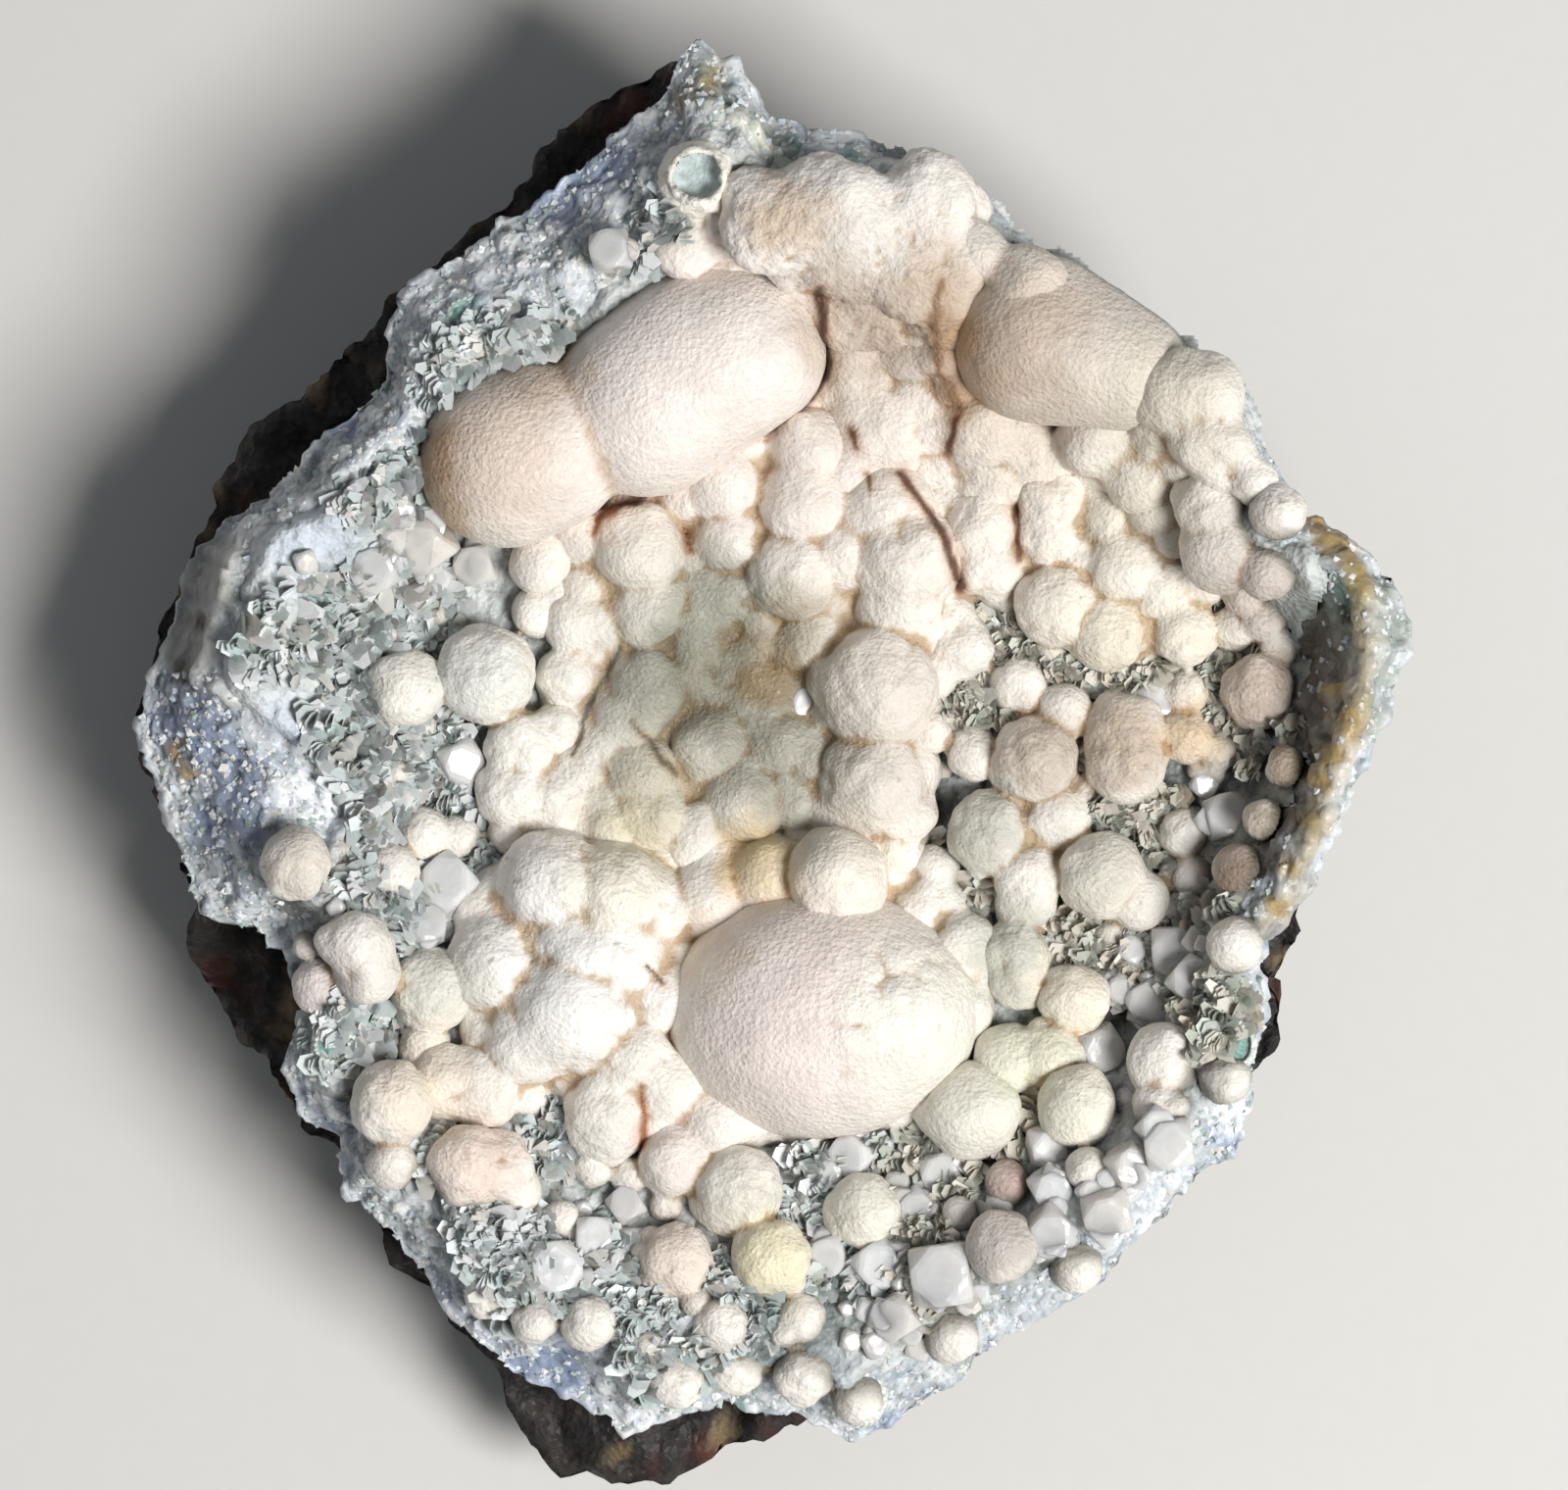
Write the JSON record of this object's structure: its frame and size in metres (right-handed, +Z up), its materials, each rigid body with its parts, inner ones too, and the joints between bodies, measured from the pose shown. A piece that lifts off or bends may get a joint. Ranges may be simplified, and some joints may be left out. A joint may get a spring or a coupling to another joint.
{
  "type": "mineral specimen, chalcedony-lined vug in basalt",
  "caption": "Broken basalt vug lined with bluish-white chalcedony, its bowl filled with round cream globules and small clear flat-faced crystals, resting on a flat base.",
  "frame": {"origin": "middle of the specimen's footprint, on the flat face it rests on", "axes": "+Z up out of the bowl, +Y along the specimen's longest side towards the pointed tip of the rim, +X towards the thin standing rim on the right"},
  "size_m": [0.1309, 0.1482, 0.0494],
  "materials": {
    "basalt": "rough broken rock, near-black brown with rusty and light ochre bits",
    "chalcedony": "waxy translucent bluish white with teal-green patches and white crust",
    "globule_crust": "finely velvety cream to peach globules, with milky clear crystals between them"
  },
  "bodies": {
    "root": {"basalt_matrix": "basalt", "chalcedony_lining": "chalcedony", "globule_crust": "globule_crust"}
  },
  "joints": []
}
